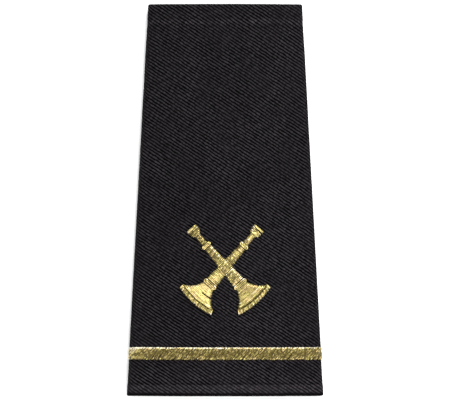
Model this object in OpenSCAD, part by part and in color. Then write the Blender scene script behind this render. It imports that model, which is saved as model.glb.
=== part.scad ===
// Slip-on shoulder board: a tapered twill sleeve for a shoulder strap, with an
// embroidered rank stripe and a badge of two crossed speaking trumpets.
// Millimetres. +Z is up out of the front, +Y points to the narrow collar end, and the
// origin is under the middle of the back, on the surface that the sleeve lies on.

/* [Sleeve] */
// Length from the wide shoulder end to the narrow collar end
length = 108; // [95:1:115]
// Width of the wide shoulder end
wide_end_w = 54; // [50:0.5:60]
// Width of the narrow collar end
narrow_end_w = 42.2; // [38:0.2:46]
// Thickness of the cloth with its stiffening
wall = 1; // [0.8:0.1:1.3]
// Inner radius of the two side folds
fold_inner_r = 1.1; // [0.9:0.1:1.6]
// Rise of the front above its side folds, at the wide end
crown = 3.9; // [3:0.1:5]
// How far the puffed folds stand proud of the front beside them
fold_puff = 0.02; // [0.01:0.01:0.05]

/* [Hems] */
// Depth of the turned-in hem at the wide end
wide_hem_d = 3.4; // [2:0.2:6]
// Depth of the turned-in hem at the narrow end
narrow_hem_d = 4.7; // [2:0.1:7]
// How far a turned-in hem stands inside the wall
hem_t = 0.25; // [0.1:0.05:0.5]

/* [Back seam] */
// Width over which the two back flaps lie on each other
lap_w = 9; // [5:0.5:14]
// Slit between the two flaps
lap_gap = 0.1; // [0.06:0.02:0.2]

/* [Rank stripe] */
// Width of the stripe along the sleeve
stripe_w = 3.6; // [2:0.2:8]
// Distance from the wide end to the stripe
stripe_from_end = 9.9; // [6:0.1:14]
// Thickness of the stripe's satin stitches
stripe_t = 0.3; // [0.2:0.05:0.6]
// Height above the surface at which the stripe ends, round the folds
stripe_end_z = 0.9; // [0.5:0.1:1.5]

/* [Badge place] */
// Distance from the wide end to the point where the trumpets cross
crossing_from_end = 35.6; // [32:0.1:55]
// Angle between each trumpet and the sleeve's length
trumpet_tilt = 41.2; // [39:0.1:43]

/* [Badge lengths from the crossing] */
// Crossing to the mouthpiece's outer face
mouth_reach = 14.2; // [13.6:0.1:15]
// Crossing to the middle of the upper collar
upper_collar_reach = 7.8; // [7:0.1:8.6]
// Crossing to the middle of the lower collar
lower_collar_reach = 6.3; // [5.8:0.1:6.8]
// Crossing to the outermost point of the bell's rim
bell_reach = 13.2; // [12.8:0.1:13.8]

/* [Badge widths] */
// Width of the mouthpiece's rim
mouth_w = 3.2; // [2.6:0.1:3.8]
// Width of the neck where it leaves the mouthpiece's cup
neck_w = 1.25; // [0.8:0.05:1.4]
// Width of the neck at the upper collar
neck_end_w = 1.45; // [1.2:0.05:1.8]
// Width of the tube below the upper collar
upper_tube_w = 1.95; // [1.6:0.05:2.2]
// Width of the tube where the trumpets cross
crossing_tube_w = 2.65; // [2.3:0.05:2.9]
// Width of the tube at the lower collar
lower_tube_w = 3.35; // [3:0.05:3.6]
// Width of the upper collar
upper_collar_w = 2.9; // [2.6:0.1:3.4]
// Width of the lower collar
lower_collar_w = 4.3; // [4:0.1:4.8]
// Width of the bell at its rim
bell_w = 10.4; // [9.4:0.1:11]
// Width of the rim from tip to tip
rim_w = 11.7; // [11.2:0.1:12.4]

/* [Badge details] */
// Length of the mouthpiece's rim band along the trumpet
mouth_rim_l = 0.55; // [0.4:0.05:0.8]
// Depth of the mouthpiece's cup
cup_depth = 2.3; // [1.8:0.1:2.8]
// Length of the upper collar along the trumpet
upper_collar_l = 1.1; // [0.8:0.1:1.3]
// Length of the lower collar along the trumpet
lower_collar_l = 1.3; // [1:0.1:1.5]
// Width of the rim's band
rim_band_w = 1.15; // [0.9:0.05:1.4]
// How much wider than the band the knot at each tip of the rim is
rim_knot_extra = 0.1; // [0.05:0.05:0.3]
// Rise of the rim's middle line between its tips
rim_rise = 0.65; // [0.5:0.05:0.9]
// How far the patch at the crossing reaches past the trumpet under it
patch_lap = 0.12; // [0.05:0.01:0.25]
// Bare line between neighbouring stitched fields
field_gap = 0.15; // [0.1:0.01:0.2]

/* [Badge heights] */
// Clearance between the cloth and what is stitched on it
stitch_gap = 0.05; // [0.03:0.01:0.1]
// Height of the tubes, bells and mouthpieces
field_t = 0.6; // [0.4:0.1:0.9]
// Height of the collars, the rims and the patch
raised_t = 0.85; // [0.6:0.05:1.2]

/* [Hidden] */
$fn = 360;
small_fn = 48;
margin = 20;
twill_colour = "#2b292d";
gold_colour = "#c9b25a";

// A trumpet's side says where its bell is. The right one lies over the left one.
left = -1;
right = 1;

// Ends of the sleeve along Y
wide_y = -length / 2;
narrow_y = length / 2;

// The folds are round rods along two straight lines that run in to meet far past the
// narrow end, level with each other. taper is the angle of each line to the length.
fold_r = fold_inner_r + wall;
taper = atan((wide_end_w - narrow_end_w) / 2 / length);
fold_x_wide = wide_end_w / 2 - (fold_r + fold_puff) / cos(taper);
apex_y = wide_y + fold_x_wide / tan(taper);

// The front is part of a round cone that has its apex where the two fold lines meet,
// and holds both of them. crown_pitch is the slope of its top line, and dip the slope
// of its axis, which runs down under the sleeve.
crown_pitch = atan(crown / (apex_y - wide_y));
dip = atan((cos(crown_pitch) - cos(taper)) / sin(crown_pitch));
half_cone = dip + crown_pitch;
half_sweep = acos((cos(crown_pitch) * cos(taper) - pow(cos(half_cone), 2)) / pow(sin(half_cone), 2));

// Places along a trumpet, counted from the crossing towards the bell
crossing_y = wide_y + crossing_from_end;
cup_s = -mouth_reach + mouth_rim_l + field_gap;
neck_s = cup_s + cup_depth;
upper_collar_s = -upper_collar_reach;
upper_collar_near = upper_collar_s - upper_collar_l / 2 - field_gap;
upper_tube_s = upper_collar_s + upper_collar_l / 2 + field_gap;
lower_collar_s = lower_collar_reach;
lower_tube_end = lower_collar_s - lower_collar_l / 2 - field_gap;
bell_s = lower_collar_s + lower_collar_l / 2 + field_gap;

// The rim's middle line is an arc, and the bell ends on an arc with the same centre
rim_mid_s = bell_reach - rim_band_w / 2;
rim_knot_d = rim_band_w + rim_knot_extra;
rim_chord = rim_w - rim_knot_d;
rim_r = (pow(rim_chord / 2, 2) + pow(rim_rise, 2)) / (2 * rim_rise);
rim_half_angle = asin(rim_chord / 2 / rim_r);
rim_centre_s = rim_mid_s - rim_r;
bell_end_r = rim_r - rim_band_w / 2 - field_gap;

// The patch at the crossing is as wide as the upper trumpet and covers the lower one
patch_w = crossing_tube_w;
patch_l = crossing_tube_w + 2 * patch_lap;

// Half the width of the tube at a place along the trumpet
function tube_half(s) = s < 0
    ? lookup(s, [[upper_tube_s, upper_tube_w / 2], [0, crossing_tube_w / 2]])
    : lookup(s, [[0, crossing_tube_w / 2], [lower_tube_end, lower_tube_w / 2]]);

// Half the width of the bell at a place along the trumpet: a plain cone that flares
// more and more towards the corner where it meets the rim
bell_corner_s = rim_centre_s + sqrt(pow(bell_end_r, 2) - pow(bell_w / 2, 2));
cone_share = 0.55;
flare_steps = 8;
function bell_share(s) = (s - bell_s) / (bell_corner_s - bell_s);
function bell_half(s) = lower_tube_w / 2
    + (bell_w - lower_tube_w) / 2 * (cone_share * bell_share(s) + (1 - cone_share) * pow(bell_share(s), 3));

// The cup's outline, as shares of its depth and of the rim's half width
CUP = [
    // share of depth, share of half width
    [0, 0.97],
    [0.4, 0.93],
    [0.62, 0.78],
    [0.8, 0.52]
];

// Rod of this radius along the right fold line
module fold_rod(r) {
    translate([fold_x_wide, wide_y, fold_r])
        rotate([0, 0, taper])
            rotate([-90, 0, 0])
                translate([0, 0, -margin])
                    cylinder(h = length + 2 * margin, r = r);
}

// Where the front's cone lies
module in_cone() {
    translate([0, apex_y, fold_r]) rotate([90 + dip, 0, 0]) children();
}

cone_from = (apex_y - narrow_y) * cos(dip) - margin;
cone_to = (apex_y - wide_y) * cos(dip) + margin;
function cone_r(along, grow) = (along + grow / sin(half_cone)) * tan(half_cone);

// The part of the cone between the two fold lines, grown outwards
module front_sector(grow) {
    in_cone()
        rotate([0, 0, 90 - half_sweep])
            rotate_extrude(angle = 2 * half_sweep)
                polygon([
                    [cone_r(cone_from, grow) / 2, cone_from],
                    [cone_r(cone_from, grow), cone_from],
                    [cone_r(cone_to, grow), cone_to],
                    [cone_r(cone_to, grow) / 2, cone_to]
                ]);
}

// The whole cone, grown outwards
module front_cone(grow) {
    in_cone()
        translate([0, 0, cone_from])
            cylinder(h = cone_to - cone_from, r1 = cone_r(cone_from, grow), r2 = cone_r(cone_to, grow));
}

// Half the distance between the fold lines at a place along Y
function fold_x(y) = (apex_y - y) * tan(taper);

// A slab across the sleeve, between two places along Y and above a height
module slab(from_y, to_y, from_z = -margin) {
    translate([-wide_end_w, from_y, from_z])
        cube([2 * wide_end_w, to_y - from_y, 2 * margin + crown]);
}

// The sleeve's outside as a filled form, grown by a distance all round. Below the
// front it is filled between the fold lines, up to a little above them.
module envelope(grow, from_y = wide_y, to_y = narrow_y) {
    rod_r = fold_r + fold_puff + grow;
    intersection() {
        union() {
            intersection() {
                front_sector(fold_r + grow);
                slab(from_y - margin, to_y + margin, fold_r);
            }
            fold_rod(rod_r);
            mirror([1, 0, 0]) fold_rod(rod_r);
            translate([0, 0, -margin])
                linear_extrude(margin + fold_r + rod_r / 3)
                    polygon([
                        [fold_x(wide_y - margin), wide_y - margin],
                        [fold_x(narrow_y + margin), narrow_y + margin],
                        [-fold_x(narrow_y + margin), narrow_y + margin],
                        [-fold_x(wide_y - margin), wide_y - margin]
                    ]);
        }
        slab(from_y, to_y, -grow);
    }
}

// The slit between the back's outer flap and the inner flap that lies on it
module lap_slit() {
    long = length + 2;
    translate([lap_w / 2, wide_y - 1, -1]) cube([lap_gap, long, 1 + (wall + lap_gap) / 2]);
    translate([-lap_w / 2 - lap_gap, wide_y - 1, (wall - lap_gap) / 2]) cube([lap_w + 2 * lap_gap, long, lap_gap]);
    translate([-lap_w / 2 - lap_gap, wide_y - 1, (wall - lap_gap) / 2])
        cube([lap_gap, long, (wall + lap_gap) / 2 + hem_t + 0.1]);
}

// Twill wrapped round from the front to the back, where its two flaps lap
module sleeve() {
    color(twill_colour)
        difference() {
            envelope(0);
            envelope(-wall, wide_y + wide_hem_d, narrow_y - narrow_hem_d);
            envelope(-wall - hem_t, wide_y - 1, narrow_y + 1);
            lap_slit();
        }
}

// Satin stripe across the front and round both folds
module rank_stripe() {
    from_y = wide_y + stripe_from_end;
    to_y = from_y + stripe_w;
    color(gold_colour)
        intersection() {
            difference() {
                envelope(stitch_gap + stripe_t, from_y, to_y);
                envelope(stitch_gap, from_y - 1, to_y + 1);
            }
            slab(from_y - 1, to_y + 1, stripe_end_z);
        }
}

// A flat outline, given round the crossing, as stitches of this height on the front
module stitched(height) {
    color(gold_colour)
        difference() {
            intersection() {
                translate([0, crossing_y, fold_r]) linear_extrude(2 * crown) children();
                front_cone(fold_r + stitch_gap + height);
            }
            front_cone(fold_r + stitch_gap);
        }
}

// Turns an outline drawn with +Y towards the bell along the trumpet on that side
module along(side) {
    rotate(180 + side * trumpet_tilt) children();
}

// A band with round ends across a trumpet
module band(w, l) {
    square([w - l, l], center = true);
    for (end = [-1, 1]) translate([end * (w - l) / 2, 0]) circle(d = l, $fn = small_fn);
}

// A stretch of tube, grown sideways and at its ends
module tube_stretch(from_s, to_s, grow = 0) {
    polygon([
        [tube_half(from_s) + grow, from_s - grow],
        [tube_half(to_s) + grow, to_s + grow],
        [-tube_half(to_s) - grow, to_s + grow],
        [-tube_half(from_s) - grow, from_s - grow]
    ]);
}

// The tubes of the trumpet that lies over the other
over_upper_end = -patch_l / 2 - field_gap;
over_lower_start = patch_l / 2 + field_gap;
module over_tubes(grow) {
    along(right) {
        tube_stretch(upper_tube_s, over_upper_end, grow);
        tube_stretch(over_lower_start, lower_tube_end, grow);
        square([patch_w + 2 * grow, patch_l + 2 * grow], center = true);
    }
}

module mouth_rim(side) {
    stitched(raised_t)
        along(side)
            translate([0, -mouth_reach + mouth_rim_l / 2]) band(mouth_w, mouth_rim_l);
}

// The cup and the neck that widens from it to the upper collar
module mouthpiece(side) {
    half = concat(
        [for (row = CUP) [row[1] * mouth_w / 2, cup_s + row[0] * cup_depth]],
        [[neck_w / 2, neck_s], [neck_end_w / 2, upper_collar_near]]
    );
    stitched(field_t)
        along(side)
            polygon(concat(half, [for (i = [len(half) - 1:-1:0]) [-half[i][0], half[i][1]]]));
}

module upper_collar(side) {
    stitched(raised_t) along(side) translate([0, upper_collar_s]) band(upper_collar_w, upper_collar_l);
}

module upper_tube(side) {
    stitched(field_t)
        if (side == right) along(right) tube_stretch(upper_tube_s, over_upper_end);
        else difference() {
            along(left) tube_stretch(upper_tube_s, 0);
            over_tubes(field_gap);
        }
}

module lower_tube(side) {
    stitched(field_t)
        if (side == right) along(right) tube_stretch(over_lower_start, lower_tube_end);
        else difference() {
            along(left) tube_stretch(0, lower_tube_end);
            over_tubes(field_gap);
        }
}

module crossing_patch() {
    stitched(raised_t) along(right) square([patch_w, patch_l], center = true);
}

module lower_collar(side) {
    stitched(raised_t) along(side) translate([0, lower_collar_s]) band(lower_collar_w, lower_collar_l);
}

// The flaring bell, drawn on past its corners and trimmed by a shallow arc
module bell(side) {
    places = [for (i = [0:flare_steps]) bell_s + i / flare_steps * (bell_reach - bell_s)];
    flare = [for (s = places) [bell_half(s), s]];
    stitched(field_t)
        along(side)
            intersection() {
                polygon(concat(flare, [for (i = [flare_steps:-1:0]) [-flare[i][0], flare[i][1]]]));
                translate([0, rim_centre_s]) circle(bell_end_r);
            }
}

// The corded rim: a curved band with a round knot at each tip
module bell_rim(side) {
    reach = 2 * rim_r;
    stitched(raised_t)
        along(side)
            translate([0, rim_centre_s]) {
                intersection() {
                    difference() {
                        circle(rim_r + rim_band_w / 2);
                        circle(rim_r - rim_band_w / 2);
                    }
                    polygon([
                        [0, 0],
                        [reach * sin(rim_half_angle), reach * cos(rim_half_angle)],
                        [-reach * sin(rim_half_angle), reach * cos(rim_half_angle)]
                    ]);
                }
                for (end = [-1, 1])
                    rotate(end * rim_half_angle)
                        translate([0, rim_r])
                            circle(d = rim_knot_d, $fn = small_fn);
            }
}

sleeve();
rank_stripe();
crossing_patch();
mouth_rim(left);  // mouth_rim_left
mouth_rim(right);  // mouth_rim_right
mouthpiece(left);  // mouthpiece_left
mouthpiece(right);  // mouthpiece_right
upper_collar(left);  // upper_collar_left
upper_collar(right);  // upper_collar_right
upper_tube(left);  // upper_tube_left
upper_tube(right);  // upper_tube_right
lower_tube(left);  // lower_tube_left
lower_tube(right);  // lower_tube_right
lower_collar(left);  // lower_collar_left
lower_collar(right);  // lower_collar_right
bell(left);  // bell_left
bell(right);  // bell_right
bell_rim(left);  // bell_rim_left
bell_rim(right);  // bell_rim_right
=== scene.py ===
# %% [markdown]
# # A slip-on shoulder board
#
# The real object is a flat tube of dark twill that slips over the strap on a shirt's
# shoulder. A gold stripe and a badge of two crossed speaking trumpets are embroidered
# on its front. The imported model already has every size and place, so this script keeps
# them and gives the cloth its weave and each stitched field its own threads.
#
# The imported model is loaded first.

import math
import random

import bmesh
import bpy
import numpy as np
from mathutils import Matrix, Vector, noise


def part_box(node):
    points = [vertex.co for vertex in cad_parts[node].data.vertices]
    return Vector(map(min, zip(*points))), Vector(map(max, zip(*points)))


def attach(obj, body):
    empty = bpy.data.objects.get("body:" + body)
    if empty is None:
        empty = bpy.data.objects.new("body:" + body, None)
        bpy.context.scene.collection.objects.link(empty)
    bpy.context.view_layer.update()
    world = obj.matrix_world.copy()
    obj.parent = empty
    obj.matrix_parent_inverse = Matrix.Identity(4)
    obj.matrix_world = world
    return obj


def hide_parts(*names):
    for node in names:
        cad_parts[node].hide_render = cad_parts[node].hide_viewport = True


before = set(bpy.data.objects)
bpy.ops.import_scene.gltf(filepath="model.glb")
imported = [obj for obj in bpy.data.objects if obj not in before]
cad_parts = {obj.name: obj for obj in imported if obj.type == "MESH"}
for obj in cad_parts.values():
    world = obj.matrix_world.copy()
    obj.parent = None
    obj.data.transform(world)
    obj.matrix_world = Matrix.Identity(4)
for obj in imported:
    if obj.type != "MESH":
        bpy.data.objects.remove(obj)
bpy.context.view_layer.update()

MM = 0.001


# %% [markdown]
# ## Camera, floor and light
#
# The board was photographed from straight above, filling most of the picture. A very
# long lens far away keeps both ends of the board at one scale, as in the picture, where
# nothing leans.
#
# Cloth shows its ribs only when light rakes across them, and metal thread shines only
# where it bends towards a lamp. The stripe in the picture has a bright line along its
# upper edge, so the main lamp stands beyond the narrow end, rather low and a little to
# the right. A lamp more than twice as wide stands lower, beyond the wide end. With a pale
# room it fills the shadows, and it lights the lower sides of the ribs and the threads.

# %% Camera straight above
view_width = 124.0 * MM
view_centre = (-0.03 * MM, 0.02 * MM)
camera_height = 2.0
front_height = 4.0 * MM

camera_data = bpy.data.cameras.new("camera")
camera_data.sensor_width = 36.0
camera_data.lens = camera_data.sensor_width * camera_height / view_width
camera = bpy.data.objects.new("camera", camera_data)
camera.location = (*view_centre, camera_height + front_height)
bpy.context.scene.collection.objects.link(camera)
bpy.context.scene.camera = camera
bpy.context.scene.view_settings.view_transform = "Standard"
print("lens:", round(camera_data.lens), "mm")

# %% Lamps and room
def soft_lamp(name, place, size, power):
    """A square lamp that faces the board."""
    lamp = bpy.data.lights.new(name, "AREA")
    lamp.size = size
    lamp.energy = power
    stand = bpy.data.objects.new(name, lamp)
    stand.location = place
    stand.rotation_euler = Vector(place).to_track_quat("Z", "Y").to_euler()
    bpy.context.scene.collection.objects.link(stand)
    print(name, power, "W, its middle", round(stand.location.length, 2), "m from the board")


soft_lamp("main_lamp", place=(0.42, 1.30, 1.00), size=0.80, power=52)
soft_lamp("low_lamp", place=(0.00, -1.10, 0.75), size=1.80, power=41)

room_light = 0.42
room = bpy.data.worlds.new("room")
room.use_nodes = True
backdrop = room.node_tree.nodes["Background"]
backdrop.inputs["Color"].default_value = (1, 1, 1, 1)
backdrop.inputs["Strength"].default_value = room_light
bpy.context.scene.world = room

# %% [markdown]
# ## Shader sums
#
# A procedural finish is a sum of many small terms. Wired by hand, each plus and times
# is a node of its own. The class below wraps a node's output, so that a plus or times
# in Python adds that node, and its method node adds every other kind of node.

# %% A socket that can be added and multiplied
class Wire:
    """An output of a material's node. Sums on it add Math nodes."""

    def __init__(self, tree, socket=None):
        self.tree = tree
        self.socket = socket

    def node(self, kind, settings=None, sockets=None, out=0):
        """Adds a node: its settings come first, then its sockets' values or links."""
        made = self.tree.nodes.new(kind)
        for name, value in (settings or {}).items():
            setattr(made, name, value)
        for name, value in (sockets or {}).items():
            if isinstance(value, Wire):
                self.tree.links.new(value.socket, made.inputs[name])
            else:
                made.inputs[name].default_value = value
        return Wire(self.tree, made.outputs[out])

    def math(self, operation, first, second=0.0):
        """A Math node on two values, each a number or a wire."""
        return self.node("ShaderNodeMath", {"operation": operation}, {0: first, 1: second})

    def __add__(self, other):
        return self.math("ADD", self, other)

    __radd__ = __add__

    def __sub__(self, other):
        return self.math("SUBTRACT", self, other)

    def __rsub__(self, other):
        return self.math("SUBTRACT", other, self)

    def __mul__(self, other):
        return self.math("MULTIPLY", self, other)

    __rmul__ = __mul__

    def __truediv__(self, other):
        return self.math("DIVIDE", self, other)

    def sin(self):
        return self.math("SINE", self)

    def cos(self):
        return self.math("COSINE", self)

    def between(self, low, high):
        """0 where this is at or below low, 1 at or above high, and smooth between."""
        settings = {"interpolation_type": "SMOOTHSTEP"}
        sockets = {"Value": self, "From Min": low, "From Max": high}
        return self.node("ShaderNodeMapRange", settings, sockets)

    def noise(self, scale, detail=2.0, roughness=0.5):
        """A soft random value, from 0 to 1, at the point that this gives."""
        sockets = {"Vector": self, "Scale": scale, "Detail": detail, "Roughness": roughness}
        return self.node("ShaderNodeTexNoise", {}, sockets)

    def mix(self, first, second):
        """A colour that goes from first to second as this goes from 0 to 1."""
        factor, colour_a, colour_b = 0, 6, 7
        sockets = {factor: self, colour_a: first, colour_b: second}
        return self.node("ShaderNodeMix", {"data_type": "RGBA"}, sockets, out=2)


def finish(name, **steady):
    """A material with one Principled shader, and the values that are the same all over it."""
    material = bpy.data.materials.new(name)
    material.use_nodes = True
    shader = material.node_tree.nodes["Principled BSDF"]
    for socket, value in steady.items():
        shader.inputs[socket.replace("_", " ")].default_value = value
    return material, shader, Wire(material.node_tree)


def feed(shader, **wires):
    """Links what changes over the surface to the shader's sockets."""
    for socket, wire in wires.items():
        wire.tree.links.new(wire.socket, shader.inputs[socket.replace("_", " ")])


# %% [markdown]
# ## The floor
#
# The board lies on a plain pale sheet. One flat face is enough for it, wide enough that
# no view sees its edge. Its finish is matt, with very slow changes of shade, so that
# nothing on it draws the eye away from the board.

# %% The floor
object_coordinates = 3
floor_half = 3.0

floor_finish, floor_shader, wire = finish("pale_floor", Specular_IOR_Level=0.1)
place = wire.node("ShaderNodeTexCoord", out=object_coordinates)
shade = place.noise(3.0)
feed(
    floor_shader,
    Base_Color=shade.mix((0.88, 0.88, 0.88, 1), (0.90, 0.90, 0.90, 1)),
    Roughness=0.75 + 0.1 * shade,
)

floor_bm = bmesh.new()
bmesh.ops.create_grid(floor_bm, x_segments=1, y_segments=1, size=floor_half)
floor_mesh = bpy.data.meshes.new("floor")
floor_bm.to_mesh(floor_mesh)
floor_bm.free()
floor_mesh.materials.append(floor_finish)
floor = bpy.data.objects.new("floor", floor_mesh)
bpy.context.scene.collection.objects.link(floor)
print("floor", 2 * floor_half, "m wide")

# %% [markdown]
# ## The form under the cloth
#
# The cloth is cut flat, and sewn and pressed into a tapered tube. So it is modelled the
# same way: a flat blank is made first, with the weave in it, and every point of it is
# then moved to its place on the tube. A sweep or a cloth simulation could also make the
# tube, but neither would say where each rib of the weave goes.
#
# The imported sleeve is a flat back, two round folds whose lines meet far past the narrow
# end, and a front that is part of a cone with its apex at that same point. The next
# cells work that form out again, in millimetres, from the sleeve's box and from the few
# sizes that the box doesn't give. The grooves of the ribs, and light that strays round
# a soft edge, make a real sleeve look a little narrower than it is, so the form is made
# wider by that much at each side.

# %% The sleeve's sizes
_, high = (np.array(corner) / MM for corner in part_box("sleeve"))
end_y = float(high[1])
ease = 0.2
wide_half = float(high[0]) + ease
narrow_half = 21.1 + ease
fold_r = 2.1
fold_margin = 0.02
crown = float(high[2]) - 2 * fold_r

taper = math.atan((wide_half - narrow_half) / (2 * end_y))
wide_fold_x = wide_half - (fold_r + fold_margin) / math.cos(taper)
apex_y = -end_y + wide_fold_x / math.tan(taper)
crown_pitch = math.atan(crown / (apex_y + end_y))
dip = math.atan((math.cos(crown_pitch) - math.cos(taper)) / math.sin(crown_pitch))
half_cone = dip + crown_pitch
print("taper", round(math.degrees(taper), 2), "degrees, crown", round(crown, 2), "mm")
print("half of the cone", round(math.degrees(half_cone), 2), "degrees")


def fold_x(y):
    """Distance of the fold's line from the middle."""
    return (apex_y - y) * math.tan(taper)


def front_z(x, y):
    """Height of the front: the root of the cone's equation at this place."""
    sin_dip, cos_dip, spread = math.sin(dip), math.cos(dip), math.tan(half_cone)
    back = y - apex_y
    reach = fold_r / math.sin(half_cone) - back * cos_dip
    a = cos_dip**2 - (spread * sin_dip) ** 2
    b = 2 * sin_dip * (spread**2 * reach - back * cos_dip)
    c = (back * sin_dip) ** 2 + x**2 - (spread * reach) ** 2
    return fold_r + (np.sqrt(b * b - 4 * a * c) - b) / (2 * a)


# The front runs into the fold where their slopes agree
nearer, further = (front_z(wide_fold_x + share * fold_r, -end_y) for share in (0.3, 0.32))
slope = (nearer - further) / (0.02 * fold_r)
fold_from = math.pi / 2 - math.atan(slope)
fold_length = fold_r * (fold_from + math.pi / 2)
edge_out = fold_r * math.cos(fold_from)
steps = np.linspace(0, wide_fold_x + edge_out, 200)
front_share = float(np.hypot(np.diff(steps), np.diff(front_z(steps, -end_y))).sum() / steps[-1])
print("the fold starts at", round(math.degrees(fold_from), 1), "degrees")
print("cloth to width on the front", round(front_share, 4))

# %% [markdown]
# A point of the cloth has two flat measures: u, the way round from the middle of the
# front, and v, along the sleeve. A third says how far it stands out from the pressed
# form. The function below puts such points in place. It carries them round the folds to
# the back, under the other flap at the lap, and round the turned edge at either end,
# back inside as a hem.

# %% From flat cloth to the tube
cloth_t = 0.48
turn_r = 0.52
wide_hem = 3.4
narrow_hem = 4.7
lap_half = 4.45
lap_step = 0.5
# The inner flap starts down this far before the lap, and is level again before the hems
lap_lead = 1.3
hem_lead = 0.8


def smooth(x):
    """0 below 0, 1 above 1, and a soft step between."""
    x = np.clip(x, 0, 1)
    return x * x * (3 - 2 * x)


def front_half(v):
    """Flat measure from the middle of the front to the start of the fold."""
    return front_share * (fold_x(np.clip(v, -end_y, end_y)) + edge_out)


def wrap(u, v, out):
    """Places, in millimetres, of points given by flat cloth measures and height above it."""
    flat_v = np.clip(v, -end_y, end_y)
    past = np.abs(v) - (end_y - turn_r)
    turn = np.clip(past / turn_r, 0, math.pi)
    inside = np.maximum(past - math.pi * turn_r, 0)
    y = np.sign(v) * np.where(past > 0, end_y - turn_r + turn_r * np.sin(turn) - inside, np.abs(v))
    depth = turn_r * (1 - np.cos(turn))

    around = np.abs(u)
    fold_at = fold_x(y)
    on_front = around <= front_half(v)
    x_front = around / front_half(v) * (fold_at + edge_out)
    angle = fold_from - (around - front_half(v)) / fold_r
    on_back = angle < -math.pi / 2
    x_back = fold_at - (around - front_half(v) - fold_length) * fold_at / fold_x(flat_v)
    nudge = 0.01
    lean_x = -(front_z(x_front + nudge, y) - front_z(x_front - nudge, y)) / (2 * nudge)
    lean_y = -(front_z(x_front, y + nudge) - front_z(x_front, y - nudge)) / (2 * nudge)
    lean = 1 / np.sqrt(1 + lean_x**2 + lean_y**2)

    x = np.where(on_front, x_front, np.where(on_back, x_back, fold_at + fold_r * np.cos(angle)))
    z = np.where(on_front, front_z(x_front, y), np.where(on_back, 0, fold_r + fold_r * np.sin(angle)))
    nx = np.where(on_front, lean_x * lean, np.where(on_back, 0, np.cos(angle)))
    ny = np.where(on_front, lean_y * lean, 0)
    nz = np.where(on_front, lean, np.where(on_back, -1, np.sin(angle)))

    hem = np.where(v > 0, narrow_hem, wide_hem)
    near_lap = smooth(lap_half + lap_lead - x)
    clear_of_hem = smooth((end_y - hem - np.abs(y)) / hem_lead)
    under = on_back * (u > 0) * near_lap * clear_of_hem
    depth = depth + lap_step * under
    rise = out * np.cos(turn) - depth
    past_end = np.sign(v) * np.sin(turn) * out
    side = np.where(u < 0, -1, 1)
    return np.stack([side * (x + nx * rise), y + ny * rise + past_end, z + nz * rise], -1)


front_middle = wrap(np.array([0.0]), np.array([0.0]), np.array([0.0]))
print("middle of the front:", front_middle.round(2), "mm")

# %% [markdown]
# ## The blank
#
# Twill has slanting ribs, called wales. In the picture they run down to the right, at
# 32.6 degrees, and there is one every 0.93 mm up the cloth. A bump map could draw them,
# but the wales are wide enough to show at the folds and in the raking light, so they
# are made of real ridges. The grid's rows run along the wales, four to each of them:
# one on the ridge, one in the groove and one on either slope. Its columns are crowded
# together only where the cloth bends.

# %% Columns of the blank
wale_slope = math.tan(math.radians(32.6))
wale_rise = 0.93
rows_per_wale = 4

# Each column's measure round the cloth is a sum of these shares and lengths:
# of the front's half, of the fold, of the back's half, and in millimetres
lap_from = 6.0
lap_columns = (5.55, 5.1, 4.65, 1.8, -1.3, -lap_half)
columns = [(i / 9, 0, 0, 0) for i in range(1, 10)]
columns += [(1, i / 10, 0, 0) for i in range(1, 11)]
columns += [(1, 1, i / 5, -lap_from * i / 5) for i in range(1, 6)]
columns += [(1, 1, 1, -x) for x in lap_columns]
column_table = np.array([(0, 0, 0, 0)] + columns, float)
column_count = 2 * len(columns)


def column_u(column, v):
    """Flat measure round the cloth of a column, counted from the left edge."""
    side = column - len(columns)
    share = column_table[np.abs(side).astype(int)]
    back = fold_x(np.clip(v, -end_y, end_y))
    around = share[..., 0] * front_half(v) + share[..., 1] * fold_length
    around = around + share[..., 2] * back + share[..., 3]
    return np.sign(side) * around


wide_edge = -end_y - (math.pi - 2) * turn_r - wide_hem
narrow_edge = end_y + (math.pi - 2) * turn_r + narrow_hem
widest = float(column_u(np.array([column_count]), np.array([-end_y]))[0])
row_from = math.floor((wide_edge - wale_slope * widest) / wale_rise) * rows_per_wale
row_to = math.ceil((narrow_edge + wale_slope * widest) / wale_rise) * rows_per_wale
blank_widths = 2 * column_u(np.full(100, column_count), np.linspace(wide_edge, narrow_edge, 100))

# %% Weave the blank
sleeve_bm = bmesh.new()
bmesh.ops.create_grid(sleeve_bm, x_segments=column_count, y_segments=row_to - row_from, size=1)
corners = np.array([vert.co for vert in sleeve_bm.verts])
column = np.rint((corners[:, 0] + 1) / 2 * column_count)
wale = (row_from + np.rint((corners[:, 1] + 1) / 2 * (row_to - row_from))) / rows_per_wale
v = wale * wale_rise
# The columns slant with the taper, so u and v are found together in a few rounds
for _ in range(6):
    u = column_u(column, v)
    v = wale * wale_rise - wale_slope * u
for vert, flat_u, flat_v in zip(sleeve_bm.verts, u, v):
    vert.co = (flat_u, flat_v, 0)


def cut(bm, faces, point, direction, clear):
    """Cuts faces along a line of the flat cloth, and can drop what lies beyond it."""
    # A dict, unlike a set, keeps its keys in one order, so each run makes the same mesh
    edges = dict.fromkeys(edge for face in faces for edge in face.edges)
    verts = dict.fromkeys(vert for face in faces for vert in face.verts)
    bmesh.ops.bisect_plane(
        bm,
        geom=[*faces, *edges, *verts],
        dist=1e-5,
        plane_co=point,
        plane_no=direction,
        clear_outer=clear,
    )


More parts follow.
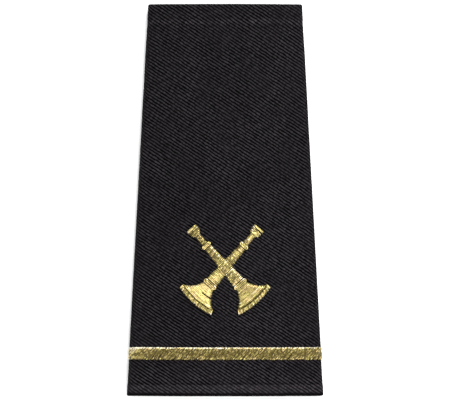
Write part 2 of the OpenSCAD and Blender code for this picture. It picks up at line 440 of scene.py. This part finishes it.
cut(sleeve_bm, sleeve_bm.faces[:], (0, narrow_edge, 0), (0, 1, 0), True)
cut(sleeve_bm, sleeve_bm.faces[:], (0, wide_edge, 0), (0, -1, 0), True)
turn_steps = 6
turn_lines = [end_y - turn_r + turn_r * math.pi * i / turn_steps for i in range(turn_steps + 1)]
near_reach = 4.0
for line in turn_lines + [-line for line in turn_lines]:
    near = [face for face in sleeve_bm.faces if abs(face.calc_center_median().y - line) < near_reach]
    cut(sleeve_bm, near, (0, line, 0), (0, 1, 0), False)
print("faces in the blank:", len(sleeve_bm.faces))

# %% [markdown]
# The inner flap of the lap would make the hems four layers thick, so its two corners
# are cut away, as a tailor grades a seam.

# %% Grade the inner flap's corners
under_lap = 4.6
hem_clear = 0.4
narrow_cut = end_y - narrow_hem - hem_clear
wide_cut = -end_y + wide_hem + hem_clear


def under_edge(v):
    """Flat measure at which the right flap goes under the left one."""
    return front_half(v) + fold_length + fold_x(np.clip(v, -end_y, end_y)) - under_lap


def flap():
    """Faces of the inner flap, and those beside it."""
    return [face for face in sleeve_bm.faces if face.calc_center_median().x > under_edge(end_y) - 1]


lap_line = Vector((under_edge(end_y) - under_edge(-end_y), 2 * end_y, 0))
cut(sleeve_bm, flap(), (under_edge(-end_y), -end_y, 0), (lap_line.y, -lap_line.x, 0), False)
for hem_line in (narrow_cut, wide_cut):
    cut(sleeve_bm, flap(), (0, hem_line, 0), (0, 1, 0), False)
flap_corners = []
for face in sleeve_bm.faces:
    middle = face.calc_center_median()
    beyond = middle.y > narrow_cut or middle.y < wide_cut
    if beyond and middle.x > under_edge(middle.y):
        flap_corners.append(face)
bmesh.ops.delete(sleeve_bm, geom=flap_corners, context="FACES")
print("faces cut away at the flap's corners:", len(flap_corners))

# %% [markdown]
# The blank gets its thickness while it is still flat, because a wall that is grown on a
# bent and ribbed sheet runs into itself at the tight turns. Then it gets its ribs and
# goes onto the tube. The cloth is never quite even: its threads wander a little and it
# lies in very low waves. A noise function of the flat measures gives both, and it comes
# out the same in each run. Beyond the hems' inner edges the cloth is two layers thick,
# and the pressed edge of the inner layer shows on the front as a faint line, so the
# cloth steps down a little there. The ends are pressed hard, which flattens the ribs.

# %% Thickness
bmesh.ops.dissolve_degenerate(sleeve_bm, dist=0.01, edges=sleeve_bm.edges[:])
bmesh.ops.solidify(sleeve_bm, geom=sleeve_bm.faces[:], thickness=cloth_t)
heights = np.array([vert.co.z for vert in sleeve_bm.verts])
print("flat cloth from", heights.min().round(3), "to", heights.max().round(3), "mm high")
print("faces with the thickness:", len(sleeve_bm.faces))

# %% Ribs, unevenness and the tube
cloth_span = 130.0
rib_depth = 0.13
inside_ribs = 0.4
flatter_on_hem, flatter_at_end = 0.25, 0.8
wave_depth, wave_size = 0.05, 7.0
hem_edge_run = 0.5
pressed_from, pressed_run = 1.2, 0.8
hem_step, hem_step_from, hem_step_run = 0.07, 40.0, 8.0
drift_u, drift_v, drift_size = 0.10, 0.12, 9.0


def wander(u, v, size, seed):
    """Soft random values of about -1 to 1 over the cloth, for waves of this size."""
    return np.array([noise.noise(Vector((a / size, b / size, seed))) for a, b in zip(u, v)])


u, v, height = np.array([vert.co for vert in sleeve_bm.verts]).T
right_side = height > -cloth_t / 2
phase = (v + wale_slope * u) / wale_rise
groove = 1 - np.sqrt(np.abs(np.cos(math.pi * phase)))
hem_depth = np.where(v > 0, narrow_hem, wide_hem)
hemmed = smooth((np.abs(v) - end_y + hem_depth) / hem_edge_run)
pressed = smooth((np.abs(v) - end_y + pressed_from) / pressed_run)
out = -rib_depth * groove * (1 - flatter_on_hem * hemmed) * (1 - flatter_at_end * pressed)
out *= np.where(right_side, 1, inside_ribs)
step_in = (1 - hemmed) * smooth((np.abs(v) - hem_step_from) / hem_step_run)
out += wave_depth * np.minimum(wander(u, v, wave_size, 3.0), 0) - hem_step * step_in
out -= np.where(right_side, 0, cloth_t)
wandered_u = u + drift_u * wander(u, v, drift_size, 5.0)
wandered_v = v + drift_v * wander(u, v, drift_size, 8.0)
placed = wrap(wandered_u, wandered_v, out)

uv_layer = sleeve_bm.loops.layers.uv.new("cloth")
for face in sleeve_bm.faces:
    face.smooth = True
    for loop in face.loops:
        loop[uv_layer].uv = loop.vert.co.xy / cloth_span + Vector((0.5, 0.5))
for vert, (x, y, z) in zip(sleeve_bm.verts, placed):
    vert.co = (x * MM, y * MM, z * MM)
sharp = math.radians(80)
for edge in sleeve_bm.edges:
    edge.smooth = edge.calc_face_angle(0) < sharp
sleeve_mesh = bpy.data.meshes.new("twill_sleeve")
sleeve_bm.to_mesh(sleeve_mesh)
sleeve_bm.free()
sleeve = bpy.data.objects.new("twill_sleeve", sleeve_mesh)
bpy.context.scene.collection.objects.link(sleeve)
print("sleeve from", placed.min(0).round(2), "to", placed.max(0).round(2), "mm")

# %% [markdown]
# ## The twill's finish
#
# The cloth is a dark wool twill, nearly black with a trace of purple. Light reaches the
# ridges and is lost in the grooves, far more than the ridges' height alone gives,
# because yarns stand apart there. So the finish paints that light and shade into the
# colour: the grooves dark as shade and the ridges lighter as lit. It reads the flat
# measures from the UV map, so that it stays on the ribs. It also paints shade as a dark
# line at the wide hem's inner edge, light on the hem beyond it and on a ridge at the
# narrow hem, and shade on the turned ends. Everything else in it is a noise. One that is
# stretched along the wales breaks them into yarns, and another makes a wale thicker or
# thinner as it goes. Two slow ones make patches where the ribs show more or less, and
# clouds that are lighter or darker, as handling leaves them. A few pale specks are fluff,
# and a fine bump gives each yarn its twist.

# %% The wales, as the finish sees them
twill, twill_shader, wire = finish("twill_cloth", Specular_IOR_Level=0.03, IOR=1.45)
flat = wire.node("ShaderNodeUVMap", {"uv_map": "cloth"})


def each_part(vector):
    """The three parts of a vector, each a value to work with."""
    parts = vector.node("ShaderNodeSeparateXYZ", {}, {0: vector})
    return [Wire(vector.tree, socket) for socket in parts.socket.node.outputs]


def at(x, y, z=0.0):
    """A point for a noise to read. Another z gives another noise."""
    return x.node("ShaderNodeCombineXYZ", {}, {0: x, 1: y, 2: z})


flat_u, flat_v, _ = (cloth_span * (part - 0.5) for part in each_part(flat))
wale_angle = math.atan(wale_slope)
along_wale = flat_u * math.cos(wale_angle) - flat_v * math.sin(wale_angle)
stray = at(flat_u, flat_v, 2.0).noise(0.5, 1.0, 0.5) - 0.5
wale_count = (flat_v + flat_u * wale_slope) / wale_rise + 0.45 * stray
nearest_wale = wale_count.math("ROUND", wale_count)
ridge = 0.5 + 0.5 * (wale_count * (2 * math.pi)).cos()

# %% Light and dark on the twill
yarns = at(along_wale * 2.2, nearest_wale * 3.7).noise(1.0, 2.0, 0.6).between(0.38, 0.62)
patches = at(flat_u, flat_v, 4.0).noise(0.17, 2.0, 0.6).between(0.35, 0.65)
clouds = at(flat_u, flat_v, 6.0).noise(0.075, 2.0, 0.5).between(0.3, 0.7)
fluff = at(along_wale, wale_count * 1.3, 9.0).noise(2.6, 1.0, 0.5).between(0.62, 0.78)
thin = at(along_wale * 1.5, nearest_wale * 2.3, 7.0).noise(1.0, 1.0, 0.5).between(0.35, 0.65)

# The hem under the cloth: a dark line of painted shade at its inner edge, and beyond it a band
# painted lighter, as light on the raised hem
past_hem = flat_v + (end_y - wide_hem)
line = 1 - past_hem.math("ABSOLUTE", past_hem).between(0.05, 0.45)
band_light = 1 - flat_v.between(-end_y + wide_hem - 0.4, -end_y + wide_hem)
# Near the narrow end, a ridge painted lighter, as light on the raised hem
narrow_band_light = flat_v.between(end_y - narrow_hem - 1.0, end_y - narrow_hem - 0.5) - flat_v.between(
    end_y - narrow_hem, end_y - narrow_hem + 0.8
)
# Painted shade on the turned ends
end_shade = 1 - flat_v.between(-end_y + 0.65, -end_y + 1.25)
below_stripe = 1 - flat_v.between(-end_y + 4.0, -end_y + 10.0)
contrast = (0.77 + 0.38 * patches) * (1 - 0.35 * band_light)
ribs = 0.33 + (ridge.between(0.5 * thin, 0.85 + 0.3 * thin) - 0.33) * contrast
lighter = 1 + 0.20 * below_stripe + 0.75 * band_light + 0.40 * narrow_band_light
light = ribs * (0.88 + 0.18 * clouds) * (0.69 + 0.46 * yarns) * lighter
light = light * (1 - 0.30 * line) * (1 - 0.9 * end_shade) + 0.3 * fluff

# %% The twill's finish
# The grooves are painted near black as shade, the ridges lighter as lit
groove_shade_black = (0.0002, 0.0001, 0.0002, 1)
lit_ridge_black = (0.0400, 0.0356, 0.0403, 1)
twist_pitch = 0.42
twist = (along_wale * (2 * math.pi / twist_pitch) + wale_count * (2 * math.pi)).sin()
relief = twist * 0.35 + ridge * 0.4 + yarns * 0.5
bump = wire.node("ShaderNodeBump", {}, {"Strength": 0.5, "Distance": 0.06 * MM, "Height": relief})
feed(
    twill_shader,
    Base_Color=(0.5 * light).mix(groove_shade_black, lit_ridge_black),
    Roughness=0.9 - 0.15 * ridge,
    Normal=bump,
)
sleeve_mesh.materials.append(twill)
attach(sleeve, "root")
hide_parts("sleeve")
print("nodes in the twill's finish:", len(twill.node_tree.nodes))

# %% [markdown]
# ## Threads
#
# The stripe and the badge are satin stitch: gold thread laid side by side from edge to
# edge, over a few longer threads that pad it up. Each thread comes up through the
# cloth, bends over at a shoulder, runs across, and goes down again. A plate with
# a bump map would look right from above, but its edges would be straight cuts. Here
# every thread is a six-sided tube, made once and laid down hundreds of times, each time
# along its own path and a little uneven.

# %% One thread
bends = 8
thread_bm = bmesh.new()
bmesh.ops.create_cone(thread_bm, cap_ends=True, segments=6, radius1=1, radius2=1, depth=1)
lengthwise = [edge for edge in thread_bm.edges if abs(edge.verts[0].co.z - edge.verts[1].co.z) > 0.5]
bmesh.ops.subdivide_edges(thread_bm, edges=lengthwise, cuts=bends - 1, use_grid_fill=True)
thread_mesh = bpy.data.meshes.new("thread")
thread_bm.to_mesh(thread_mesh)
thread_bm.free()
thread_points = np.array([vert.co for vert in thread_mesh.vertices])
thread_ring = np.rint((thread_points[:, 2] + 0.5) * bends).astype(int)
thread_turn = np.arctan2(thread_points[:, 1], thread_points[:, 0])
print("faces in a thread:", len(thread_mesh.polygons))


# %% Paths of threads
dice = random.Random(7)
rings = np.arange(bends + 1)
uneven_crest = 0.03


def across(start, end, crest, thick, bow=0.0, shoulder=0.9, tone_and_light=0.0):
    """Middle of a thread that comes up at start, bends over, and goes down at end."""
    start, end = np.array(start), np.array(end)
    length = float(np.hypot(*(end - start)))
    ahead = (end - start) / length
    counted = [0, 1, 2, 3, 4]
    from_end = np.minimum(rings, bends - rings)
    shoulder = min(0.42 * length, shoulder)
    inwards = [0, 0.1 * shoulder, 0.5 * shoulder, shoulder, length / 2]
    in_from_end = np.interp(from_end, counted, inwards)
    place = np.sign(rings - bends / 2) * (length / 2 - in_from_end)
    sideways = bow * (1 - (2 * place / length) ** 2)
    flat = (start + end) / 2 + np.outer(place, ahead) + np.outer(sideways, (-ahead[1], ahead[0]))
    rise = crest - thick + dice.uniform(-uneven_crest, uneven_crest)
    under = 1.2 * thick
    height = np.interp(from_end, counted, [0, 0.40, 0.88, 0.99, 1]) * (rise + under) - under
    return np.column_stack([flat, height]), thick, tone_and_light


def paired(number):
    """Threads lie in loose pairs, light and dark in turn: a value of -1 to 1 for each."""
    pair = 2.2
    return math.cos(2 * math.pi * number / pair)


# %% [markdown]
# The light falls on the bends at a field's upper edge, so the last rings of a thread are
# painted brighter there, as highlights; the stripe's rings are painted lighter and darker
# along it too. A thread also gets a brightness of its own, and each field a painted
# brightness for the light and shade it catches. These values are kept on the mesh's
# points, where the gold finish reads them.

# %% Lay threads
# Painted highlight, by ring, at the end of a thread on a field's upper edge
upper_edge_light = np.array([0, 0, 0, 0, 0, 0, 0.25, 0.5, 0.5])
bright_edge_light = np.array([0, 0, 0, 0, 0, 0, 0.35, 0.8, 0.8])
# Each ring strays by up to this share of the thread's thickness
wobble = 0.2


def keep_on_points(mesh, name, values, kind="FLOAT", field="value"):
    """Stores a value, or a vector, for each point of a mesh."""
    attribute = mesh.attributes.new(name, kind, "POINT")
    attribute.data.foreach_set(field, np.ravel(values))


def lay(name, threads, node, tone_and_light_range=(0.3, 0.9), wear_and_gap_shade=0.5, edges=upper_edge_light, squash=0.75):
    """Makes one piece of threads, each given by the places of its rings in flat millimetres."""
    bm = bmesh.new()
    places, tone_and_light_values, number_values, lay_values = [], [], [], []
    first_number = dice.uniform(0, 90)
    for number, (middle, thick, own_tone_and_light) in enumerate(threads):
        bm.from_mesh(thread_mesh)
        shifts = [[dice.uniform(-wobble, wobble) * thick for _ in range(3)] for _ in rings]
        middle = middle + np.array(shifts)
        ahead = np.gradient(middle, axis=0)
        run = np.concatenate([[0], np.cumsum(np.linalg.norm(np.diff(middle, axis=0), axis=1))])
        left = np.column_stack([-ahead[:, 1], ahead[:, 0], 0 * run])
        left /= np.linalg.norm(left, axis=1)[:, None]
        above = np.cross(ahead, left)
        above /= np.linalg.norm(above, axis=1)[:, None]
        middle[:, 2] += thick * (1 - squash)
        beside, over = np.cos(thread_turn), np.sin(thread_turn)
        round_it = beside[:, None] * left[thread_ring] + squash * over[:, None] * above[thread_ring]
        points = middle[thread_ring] + thick * round_it
        places.append(wrap(*points.T))
        # A thread's value sums its own tone, its field's painted light and shade, and the painted
        # highlights that edges gives by ring
        tone_and_light_values.append(own_tone_and_light + dice.uniform(*tone_and_light_range) + edges[thread_ring])
        number_values.append(np.full(len(thread_ring), first_number + number))
        lay_values.append(np.column_stack([beside, over, run[thread_ring] + dice.uniform(0, 0.5)]))
    for vert, place in zip(bm.verts, np.concatenate(places)):
        vert.co = place * MM
    for face in bm.faces:
        face.smooth = len(face.verts) == 4
    mesh = bpy.data.meshes.new(name)
    bm.to_mesh(mesh)
    bm.free()
    keep_on_points(mesh, "tone_and_light", np.concatenate(tone_and_light_values))
    keep_on_points(mesh, "number", np.concatenate(number_values))
    keep_on_points(mesh, "wear_and_gap_shade", np.full(len(mesh.vertices), wear_and_gap_shade))
    keep_on_points(mesh, "lay", np.concatenate(lay_values), "FLOAT_VECTOR", "vector")
    mesh.materials.append(gold)
    piece = bpy.data.objects.new(name, mesh)
    bpy.context.scene.collection.objects.link(piece)
    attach(piece, "root")
    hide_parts(node)
    print(name, len(threads), "threads", len(mesh.polygons), "faces")


# %% [markdown]
# ## The gold thread's finish
#
# Metal thread is a yarn with a narrow gilt foil wound round it. The foil makes small
# slanting facets that flash or stay dark, and where it has opened the dull yarn shows.
# So the finish is metal whose colour and gloss change along each thread and from thread
# to thread, with dark flecks. Shade is painted into its colour low down between two
# threads, deeper where the foil is more worn, and its brightest places are painted a pale
# highlight colour. Each thread's brightness also carries the light and shade painted for
# its field and at its ends. A noise that reads the thread's number and the way along it
# makes strokes of light and dark, one or two threads wide, as stitches show them. The
# winding follows each thread too: the tube carries the cosine and sine of the way round
# it and the distance along it, and a helix is a sum of those.

# %% What the gold finish reads
gold, gold_shader, wire = finish("gold_thread", IOR=1.5, Coat_Weight=0.1, Coat_Roughness=0.4)


def kept_on_points(name, out=2):
    """A value that lay stored on the mesh. The second output, out=1, gives a vector."""
    return wire.node("ShaderNodeAttribute", {"attribute_name": name}, out=out)


around_cos, around_sin, run = each_part(kept_on_points("lay", out=1))
tone_and_light, wear_and_gap_shade, number = (kept_on_points(name) for name in ("tone_and_light", "wear_and_gap_shade", "number"))
point = wire.node("ShaderNodeTexCoord", out=object_coordinates)
foil_pitch = 0.6
turns = run * (2 * math.pi / foil_pitch)
winding = around_cos * turns.sin() + around_sin * turns.cos()

# %% Gold thread
green_gilt, red_gilt = (0.66, 0.575, 0.20, 1), (0.72, 0.560, 0.25, 1)
dull_and_shaded_gilt, painted_white_highlight = (0.14, 0.108, 0.026, 1), (0.71, 0.66, 0.51, 1)
shallow_gap_shade, deep_gap_shade = (0.19, 0.150, 0.040, 1), (0.05, 0.036, 0.008, 1)
bare_yarn = (0.060, 0.041, 0.009, 1)
glitter = point.noise(2200.0, 1.0, 0.5).between(0.35, 0.65)
facets = at(run * 1.1, number * 1.1).noise(1.0, 1.0, 0.5).between(0.35, 0.65)
warm = point.noise(650.0, 1.0, 0.5).between(0.38, 0.62)
# Brightness sums the thread's tone with its painted light and shade, random glitter and facets
brightness_and_light = 0.62 * tone_and_light + 0.08 * glitter + (0.22 + 0.22 * wear_and_gap_shade) * facets
bright = warm.mix(green_gilt, red_gilt)
gilt = brightness_and_light.between(0.0, 1.0).mix(dull_and_shaded_gilt, bright)
# Painted highlight: the brightest places take a pale highlight colour
painted_highlight = brightness_and_light.between(0.85, 1.1)
# Painted shade low on each thread's sides, between two threads: the gap colour, deeper where the foil
# is more worn
open_side = 0.36 - 0.4 * painted_highlight - 0.4 * (1 - wear_and_gap_shade)
on_top = around_sin.between(open_side, open_side + 0.5)
gilt = painted_highlight.mix(gilt, painted_white_highlight)
opened = at(run * 1.1, number * 0.8, 7.0).noise(1.0, 1.0, 0.5).between(0.49, 0.57)
worn = opened * wear_and_gap_shade * (1 - 0.85 * painted_highlight)
gap = wear_and_gap_shade.mix(shallow_gap_shade, deep_gap_shade)
gilt = on_top.mix(gap, gilt)
relief = (0.5 * winding + 0.4 * glitter) * (0.4 + 0.6 * wear_and_gap_shade)
bump = wire.node("ShaderNodeBump", {}, {"Strength": 0.3, "Distance": 0.05 * MM, "Height": relief})
feed(
    gold_shader,
    Base_Color=(0.9 * worn).mix(gilt, bare_yarn),
    Metallic=0.95 - 0.2 * worn,
    Roughness=0.50 + 0.06 * glitter + 0.10 * worn,
    Normal=bump,
)
print("nodes in the gold finish:", len(gold.node_tree.nodes))

# %% [markdown]
# ## The stripe
#
# The stripe's threads slant up to the right, a little unevenly, from one edge to the
# other, and it runs round both folds to just above the surface. Its upper edge and its
# left end, where the threads turn over the fold, are painted brighter, as the main
# lamp's highlights, and its threads are painted darker than the badge's, as shade. It
# lies lower at the folds than on the front.

# %% Stripe
stripe_low = -end_y + 9.9
stripe_high = stripe_low + 3.6
stripe_front = front_half((stripe_low + stripe_high) / 2)
stripe_t = 0.40
stripe_sink = 0.25
stripe_end_z = 0.9
stripe_reach = stripe_front + fold_r * (fold_from + math.asin(1 - stripe_end_z / fold_r))
stripe_pitch = 0.372
stripe_slant, slant_sway = 52, 16
lit_length, lit_tone = 5.0, 0.8

stripe_threads = []
count = round(2 * stripe_reach / stripe_pitch)
for i in range(count + 1):
    middle = -stripe_reach + 2 * stripe_reach * i / count
    angle = math.radians(stripe_slant + slant_sway * noise.noise(Vector((middle / 4, 0, 2))))
    half_run = (stripe_high - stripe_low) / 2 / math.tan(angle)
    start_u = max(-stripe_reach, middle - half_run + dice.uniform(-0.14, 0.14))
    end_u = min(stripe_reach, middle + half_run + dice.uniform(-0.08, 0.08))
    start = (start_u, stripe_low + dice.uniform(0.18, 0.36))
    end = (end_u, stripe_high - dice.uniform(0.07, 0.14))
    crest = stripe_t - stripe_sink * smooth((abs(middle) - stripe_front) / 1.5)
    # The threads at the left end are painted brighter, as the main lamp's highlight
    own_tone_and_light = lit_tone * smooth((-middle - stripe_reach + lit_length) / 1.5) + 0.15 * paired(i)
    stripe_threads.append(across(start, end, crest, 0.21, shoulder=0.65, tone_and_light=own_tone_and_light))
# Painted light and shade by ring along each thread, with a bright line at the top end
stripe_light_and_shade = np.array([0.25, 0.25, 0.2, 0, -0.25, 0.1, 0.9, 1.8, 1.8])
lay("stripe_threads", stripe_threads, "rank_stripe", (-0.17, 0.28), wear_and_gap_shade=1.0, edges=stripe_light_and_shade)

# %% [markdown]
# ## The badge
#
# Each trumpet is made of separate fields, with a bare line between one and the next.
# The threads of a tube, cup or bell run across it. Those of the rim run across the rim,
# so it looks like a twisted cord. The collars stand highest. The places below are
# counted along a trumpet from the crossing, towards its bell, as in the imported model.

# %% Places of the badge
crossing_y = -end_y + 35.6
tilt = 41.2
left, right = -1, 1


def on_badge(side, aside, along):
    """Flat cloth measures of a place on a trumpet."""
    turn = math.radians(180 + side * tilt)
    x = aside * math.cos(turn) - along * math.sin(turn)
    y = aside * math.sin(turn) + along * math.cos(turn) + crossing_y
    return x * front_share, y


cup_places = [-13.5, -12.58, -12.07, -11.66, -11.2, -8.5]
cup_halves = [1.552, 1.488, 1.248, 0.832, 0.625, 0.725]
tube_places = [-7.1, 0, 5.5]
tube_halves = [0.975, 1.325, 1.675]
patch_lap = 0.15
patch_ends = (-1.58, 1.445)


def cup_half(along):
    """Half the width of a mouthpiece."""
    return float(np.interp(along, cup_places, cup_halves))


def tube_half(along):
    """Half the width of a tube."""
    return float(np.interp(along, tube_places, tube_halves))


def patch_half(along):
    """Over the crossing, threads reach a little over the ends of the other trumpet's tubes."""
    return tube_half(along) + patch_lap


# %% Places of the bells
trumpet_end = 13.2
rim_r = 21.4
rim_band = 1.15
bare_line = 0.15
rim_centre = trumpet_end - rim_band / 2 - rim_r
bell_end_r = rim_r - rim_band / 2 - bare_line
bell_start, bell_start_half = 7.1, tube_halves[-1]
bell_end_half = 5.2
bell_lap = 0.1
bell_corner = rim_centre + math.sqrt(bell_end_r**2 - bell_end_half**2)


def bell_half(along):
    """Half the width of a bell, which flares more and more."""
    share = (along - bell_start) / (bell_corner - bell_start)
    return bell_start_half + (bell_end_half - bell_start_half) * (0.55 * share + 0.45 * share**3)


print("a bell widens from", 2 * bell_half(bell_start), "to", 2 * bell_half(bell_corner), "mm")

# %% [markdown]
# A satin field's threads slant a little, and their slant can change from one end of the
# field to the other. In a bell they bow as its rim does. One thread of the left bell is
# missing over part of its width, which leaves the dark slit that the picture shows.

# %% Satin fields
thread_pitch = 0.40
thread_r = 0.22
pad_r = 0.24
field_t = 0.6
raised_t = 0.85
field_lap = 0.05
# Threads end up to this much short of a field's outline, or beyond it
ragged = 0.06


def pad(side, half, first, last, crest):
    """A few thick threads along a field, to pad it up, no wider apart than its middle allows."""
    threads = []
    inset = 0.2
    widest = half((first + last) / 2)
    for share in (-0.6, -0.2, 0.2, 0.6):
        start = on_badge(side, share * min(widest, half(first + inset)), first + inset)
        end = on_badge(side, share * min(widest, half(last - inset)), last - inset)
        threads.append(across(start, end, crest, pad_r, tone_and_light=-0.6))
    return threads


def satin(
    side, half, first, last, crest=field_t, slant=0.0, slopes=(0, 0), rise=0.0,
    pitch=thread_pitch, slit=None, grain=0.2,
):
    """Threads across a trumpet, from a first to a last place along it, over padding."""
    threads = pad(side, half, first, last, crest - 1.2 * thread_r)
    first, last = first - field_lap, last + field_lap
    count = max(1, round((last - first - 2 * thread_r) / pitch))
    for i in range(count + 1):
        share = i / count
        inwards = min(1, 4 * share, 4 * (1 - share))
        slope = slopes[0] * (1 - share) + slopes[1] * share + slant * inwards
        bow = rise * share
        middle = first + thread_r + share * (last - first - 2 * thread_r) - bow
        reach = half(middle)
        near, far = middle - slope * reach, middle + slope * reach
        left_end = -half(near) + dice.uniform(-ragged, ragged)
        if slit and abs(middle + bow - slit[0]) < pitch / 2:
            left_end = slit[1]
            near = middle + bow * (1 - (left_end / reach) ** 2)
            bow *= ((reach - left_end) / (2 * reach)) ** 2
        start = on_badge(side, left_end, near)
        end = on_badge(side, half(far) + dice.uniform(-ragged, ragged), far)
        if side == right:
            start, end, bow = end, start, -bow
        top = crest * (0.85 + 0.15 * inwards)
        threads.append(across(start, end, top, thread_r, bow, tone_and_light=grain * paired(i)))
    return threads


# %% Collars and mouth rims
def band(side, middle, width, length, rows, thick, tone_and_light=0.0):
    """Threads along a band with round ends, which lies across a trumpet."""
    threads = []
    for row in range(rows):
        off = (row - (rows - 1) / 2) * (length - 2 * thick) / max(1, rows - 1)
        reach = width / 2 - length / 2 + math.sqrt(max(0, (length / 2) ** 2 - off**2))
        start = on_badge(side, -reach + dice.uniform(-0.05, 0.05), middle + off)
        end = on_badge(side, reach + dice.uniform(-0.05, 0.05), middle + off)
        threads.append(across(start, end, raised_t, thick, tone_and_light=tone_and_light))
    return threads


def collar(side, middle, width, length):
    """A band with a thread laid in a loop round it, which makes its round ends."""
    thick = 0.2
    round_r = length / 2 - thick
    reach = width / 2 - length / 2
    threads = band(side, middle, width - 0.5, length, rows=3, thick=thick, tone_and_light=-0.05)
    half_turn = np.linspace(math.pi / 2, -math.pi / 2, bends - 1)
    outs = [0.4 * reach, *(reach + round_r * np.cos(half_turn)), 0.4 * reach]
    offs = [round_r, *(round_r * np.sin(half_turn)), -round_r]
    sink = 0.35 * np.array([0, *np.cos(half_turn), 0])
    heights = raised_t - thick - 0.25 * np.isin(rings, (0, bends)) - sink
    for end in (-1, 1):
        flat = [on_badge(side, end * out, middle + off) for out, off in zip(outs, offs)]
        # The loop's thread is painted a little brighter, as light on the collar's raised ends
        threads.append((np.column_stack([flat, heights]), thick, 0.2))
    return threads


# %% Rims of the bells
def rim(side):
    """Threads across the rim of a bell, wider at its two tips."""
    threads = []
    count = 26
    rim_width = 11.5
    lean = 0.12 * side
    tip = math.asin((rim_width / 2 - thread_r - abs(lean)) / rim_r)
    for i in range(count + 1):
        angle = -tip + 2 * tip * i / count
        knot = 0.18 if i in (0, 1, count - 1, count) else 0
        grain = paired(i)
        ends = []
        for sign, reach in ((-1, rim_band / 2 + knot), (1, rim_band / 2 - 0.08 + 0.06 * grain)):
            radius = rim_r + sign * (reach + dice.uniform(-0.04, 0.04))
            turn = angle + sign * lean / rim_r
            ends.append(on_badge(side, radius * math.sin(turn), rim_centre + radius * math.cos(turn)))
        threads.append(across(*ends, raised_t + 0.04 * grain, thread_r, tone_and_light=0.3 * grain + knot))
    return threads


# %% [markdown]
# The two trumpets aren't stitched alike, and they don't catch the light alike, so their
# fields are painted with different light and shade. The table below has what differs:
# places and slants, and the look of each field. A look has the range of its threads'
# brightness, with that painted light and shade in it, how worn the foil is, which also
# sets how deep the painted shade between threads is, how bright the painted highlights
# at the edges are, and how flat the threads are pressed.

# %% How the two trumpets differ
# Painted shade at the inner ends of the rim's threads, and a little painted light at their outer ends
rim_end_light_and_shade = np.array([-0.5, -0.5, -0.3, 0, 0, 0, 0.1, 0.1, 0.1])
trumpets = [
    dict(
        word="left",
        side=left,
        mouth=dict(middle=-13.925, width=3.2, length=0.55, rows=2),
        cup=dict(first=-13.45, slopes=(-0.15, 0)),
        tube_gap=(1.49, -0.133),
        bell=dict(slit=(9.34, -0.17), grain=0.12),
        looks=dict(
            mouth_rim=dict(tone_and_light_range=(0.7, 1.2)),
            mouthpiece=dict(tone_and_light_range=(0.68, 0.98), wear_and_gap_shade=0.9, edges=0.3 * upper_edge_light),
            upper_tube=dict(tone_and_light_range=(0.2, 0.62), wear_and_gap_shade=0.8, edges=0.5 * upper_edge_light),
            lower_tube=dict(tone_and_light_range=(0.36, 0.76), wear_and_gap_shade=0.4, edges=0.5 * upper_edge_light),
            bell=dict(tone_and_light_range=(0.7, 1.0), wear_and_gap_shade=0.25, edges=0.5 * upper_edge_light, squash=0.42),
            bell_rim=dict(tone_and_light_range=(0.52, 0.82), wear_and_gap_shade=0.6, edges=rim_end_light_and_shade),
        ),
    ),
    dict(
        word="right",
        side=right,
        mouth=dict(middle=-13.86, width=3.2, length=0.68, rows=3),
        cup=dict(first=-13.5),
        tube_gap=(1.595, 0),
        bell=dict(grain=0.25),
        looks=dict(
            mouth_rim=dict(tone_and_light_range=(0.3, 0.9)),
            mouthpiece=dict(tone_and_light_range=(0.02, 0.45), wear_and_gap_shade=0.9, edges=bright_edge_light),
            upper_tube=dict(tone_and_light_range=(0.08, 0.62), wear_and_gap_shade=0.8, edges=bright_edge_light),
            lower_tube=dict(tone_and_light_range=(0.42, 0.96), wear_and_gap_shade=0.8, edges=bright_edge_light),
            bell=dict(tone_and_light_range=(0.42, 0.84), wear_and_gap_shade=0.45, edges=0.5 * upper_edge_light, squash=0.62),
            bell_rim=dict(tone_and_light_range=(0.55, 0.85), wear_and_gap_shade=0.6, edges=rim_end_light_and_shade),
        ),
    ),
]


# %% Stitch the badge
def stitch(trumpet, field, threads):
    """Lays the threads of one field of a trumpet, with that field's look."""
    word = trumpet["word"]
    lay(f"{field}_threads_{word}", threads, f"{field}_{word}", **trumpet["looks"].get(field, {}))


patch = satin(right, patch_half, *patch_ends, crest=raised_t, slant=0.2)
lay("crossing_patch_threads", patch, "crossing_patch", tone_and_light_range=(0.26, 0.8), wear_and_gap_shade=0.7)
for trumpet in trumpets:
    side = trumpet["side"]
    gap, slope = trumpet["tube_gap"]
    stitch(trumpet, "mouth_rim", band(side, thick=0.16, **trumpet["mouth"]))
    mouthpiece = satin(side, cup_half, last=cup_places[-1], slant=0.15, **trumpet["cup"])
    stitch(trumpet, "mouthpiece", mouthpiece)
    stitch(trumpet, "upper_collar", collar(side, middle=-7.8, width=2.9, length=1.1))
    upper_tube = satin(side, tube_half, tube_places[0], -gap, slant=0.25, slopes=(0, slope))
    stitch(trumpet, "upper_tube", upper_tube)
    lower_tube = satin(side, tube_half, gap, tube_places[-1], slant=0.2, slopes=(slope, 0))
    stitch(trumpet, "lower_tube", lower_tube)
    stitch(trumpet, "lower_collar", collar(side, middle=6.3, width=4.3, length=1.3))
    bell_end = rim_centre + bell_end_r
    bell_ends = (bell_start - bell_lap, bell_end)
    bell = satin(side, bell_half, *bell_ends, rise=0.6, pitch=0.39, **trumpet["bell"])
    stitch(trumpet, "bell", bell)
    stitch(trumpet, "bell_rim", rim(side))
